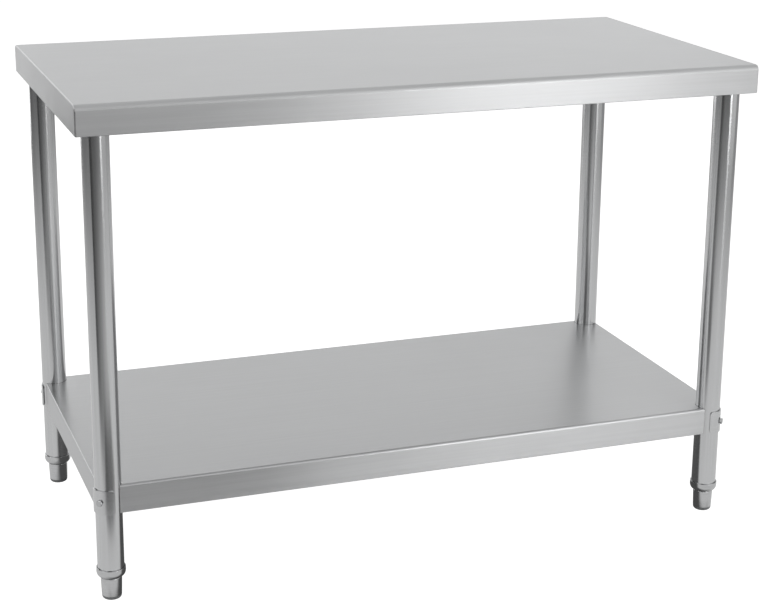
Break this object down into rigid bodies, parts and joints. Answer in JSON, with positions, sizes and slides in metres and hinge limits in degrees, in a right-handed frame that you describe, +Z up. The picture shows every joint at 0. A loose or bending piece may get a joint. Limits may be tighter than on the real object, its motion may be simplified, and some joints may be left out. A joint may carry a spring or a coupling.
{
  "type": "work table",
  "caption": "Free-standing stainless work table with a folded worktop, round tube legs, a bolted lower shelf and levelling feet that screw out of the legs.",
  "frame": {"origin": "on the floor, under the centre of the worktop", "axes": "+X along the table's length to the right, +Y from the front edge to the back, +Z up"},
  "size_m": [1.2, 0.6, 0.85],
  "materials": {
    "worktop_steel": "fine brushed grain along the length",
    "shelf_steel": "fine brushed grain along the length",
    "leg_steel": "satin polished tube",
    "bracket_steel": "mill finish pressed sheet",
    "saddle_steel": "satin pressed plate",
    "fastener_steel": "turned stainless",
    "foot_alloy": "polished casting, lightly scuffed",
    "glide_plastic": "moulded grey, smooth"
  },
  "bodies": {
    "frame": {"worktop_skin": "worktop_steel", "worktop_channel_left": "bracket_steel", "worktop_channel_right": "bracket_steel", "worktop_channel_centre": "bracket_steel", "shelf_panel": "shelf_steel", "shelf_channel": "bracket_steel", "leg_socket_front_left": "bracket_steel", "socket_screw_front_left": "fastener_steel", "leg_tube_front_left": "leg_steel", "shelf_saddle_front_left": "saddle_steel", "shelf_gusset_front_left": "bracket_steel", "shelf_bolt_front_left": "fastener_steel", "shelf_nut_front_left": "fastener_steel", "foot_insert_front_left": "foot_alloy", "leg_socket_front_right": "bracket_steel", "socket_screw_front_right": "fastener_steel", "leg_tube_front_right": "leg_steel", "shelf_saddle_front_right": "saddle_steel", "shelf_gusset_front_right": "bracket_steel", "shelf_bolt_front_right": "fastener_steel", "shelf_nut_front_right": "fastener_steel", "foot_insert_front_right": "foot_alloy", "leg_socket_back_left": "bracket_steel", "socket_screw_back_left": "fastener_steel", "leg_tube_back_left": "leg_steel", "shelf_saddle_back_left": "saddle_steel", "shelf_gusset_back_left": "bracket_steel", "shelf_bolt_back_left": "fastener_steel", "shelf_nut_back_left": "fastener_steel", "foot_insert_back_left": "foot_alloy", "leg_socket_back_right": "bracket_steel", "socket_screw_back_right": "fastener_steel", "leg_tube_back_right": "leg_steel", "shelf_saddle_back_right": "saddle_steel", "shelf_gusset_back_right": "bracket_steel", "shelf_bolt_back_right": "fastener_steel", "shelf_nut_back_right": "fastener_steel", "foot_insert_back_right": "foot_alloy"},
    "glide_front_left": {"foot_glide_front_left": "glide_plastic"},
    "foot_front_left": {"foot_shoe_front_left": "foot_alloy", "foot_stem_front_left": "fastener_steel"},
    "glide_front_right": {"foot_glide_front_right": "glide_plastic"},
    "foot_front_right": {"foot_shoe_front_right": "foot_alloy", "foot_stem_front_right": "fastener_steel"},
    "glide_back_left": {"foot_glide_back_left": "glide_plastic"},
    "foot_back_left": {"foot_shoe_back_left": "foot_alloy", "foot_stem_back_left": "fastener_steel"},
    "glide_back_right": {"foot_glide_back_right": "glide_plastic"},
    "foot_back_right": {"foot_shoe_back_right": "foot_alloy", "foot_stem_back_right": "fastener_steel"}
  },
  "joints": [
    {"name": "foot_rise_front_left", "type": "slide", "parent": "frame", "child": "glide_front_left", "axis": [0, 0, -1], "range_m": [0, 0.025]},
    {"name": "foot_turn_front_left", "type": "hinge", "parent": "glide_front_left", "child": "foot_front_left", "pos_m": [-0.562, -0.26, 0.02], "axis": [0, 0, -1], "range_deg": [0, 6000]},
    {"name": "foot_rise_front_right", "type": "slide", "parent": "frame", "child": "glide_front_right", "axis": [0, 0, -1], "range_m": [0, 0.025]},
    {"name": "foot_turn_front_right", "type": "hinge", "parent": "glide_front_right", "child": "foot_front_right", "pos_m": [0.562, -0.26, 0.02], "axis": [0, 0, -1], "range_deg": [0, 6000]},
    {"name": "foot_rise_back_left", "type": "slide", "parent": "frame", "child": "glide_back_left", "axis": [0, 0, -1], "range_m": [0, 0.025]},
    {"name": "foot_turn_back_left", "type": "hinge", "parent": "glide_back_left", "child": "foot_back_left", "pos_m": [-0.562, 0.26, 0.02], "axis": [0, 0, -1], "range_deg": [0, 6000]},
    {"name": "foot_rise_back_right", "type": "slide", "parent": "frame", "child": "glide_back_right", "axis": [0, 0, -1], "range_m": [0, 0.025]},
    {"name": "foot_turn_back_right", "type": "hinge", "parent": "glide_back_right", "child": "foot_back_right", "pos_m": [0.562, 0.26, 0.02], "axis": [0, 0, -1], "range_deg": [0, 6000]}
  ],
  "couplings": [
    {"joint": "foot_turn_front_left", "follows": "foot_rise_front_left", "rad_per_m": 4188.8},
    {"joint": "foot_turn_front_right", "follows": "foot_rise_front_right", "rad_per_m": 4188.8},
    {"joint": "foot_turn_back_left", "follows": "foot_rise_back_left", "rad_per_m": 4188.8},
    {"joint": "foot_turn_back_right", "follows": "foot_rise_back_right", "rad_per_m": 4188.8}
  ]
}
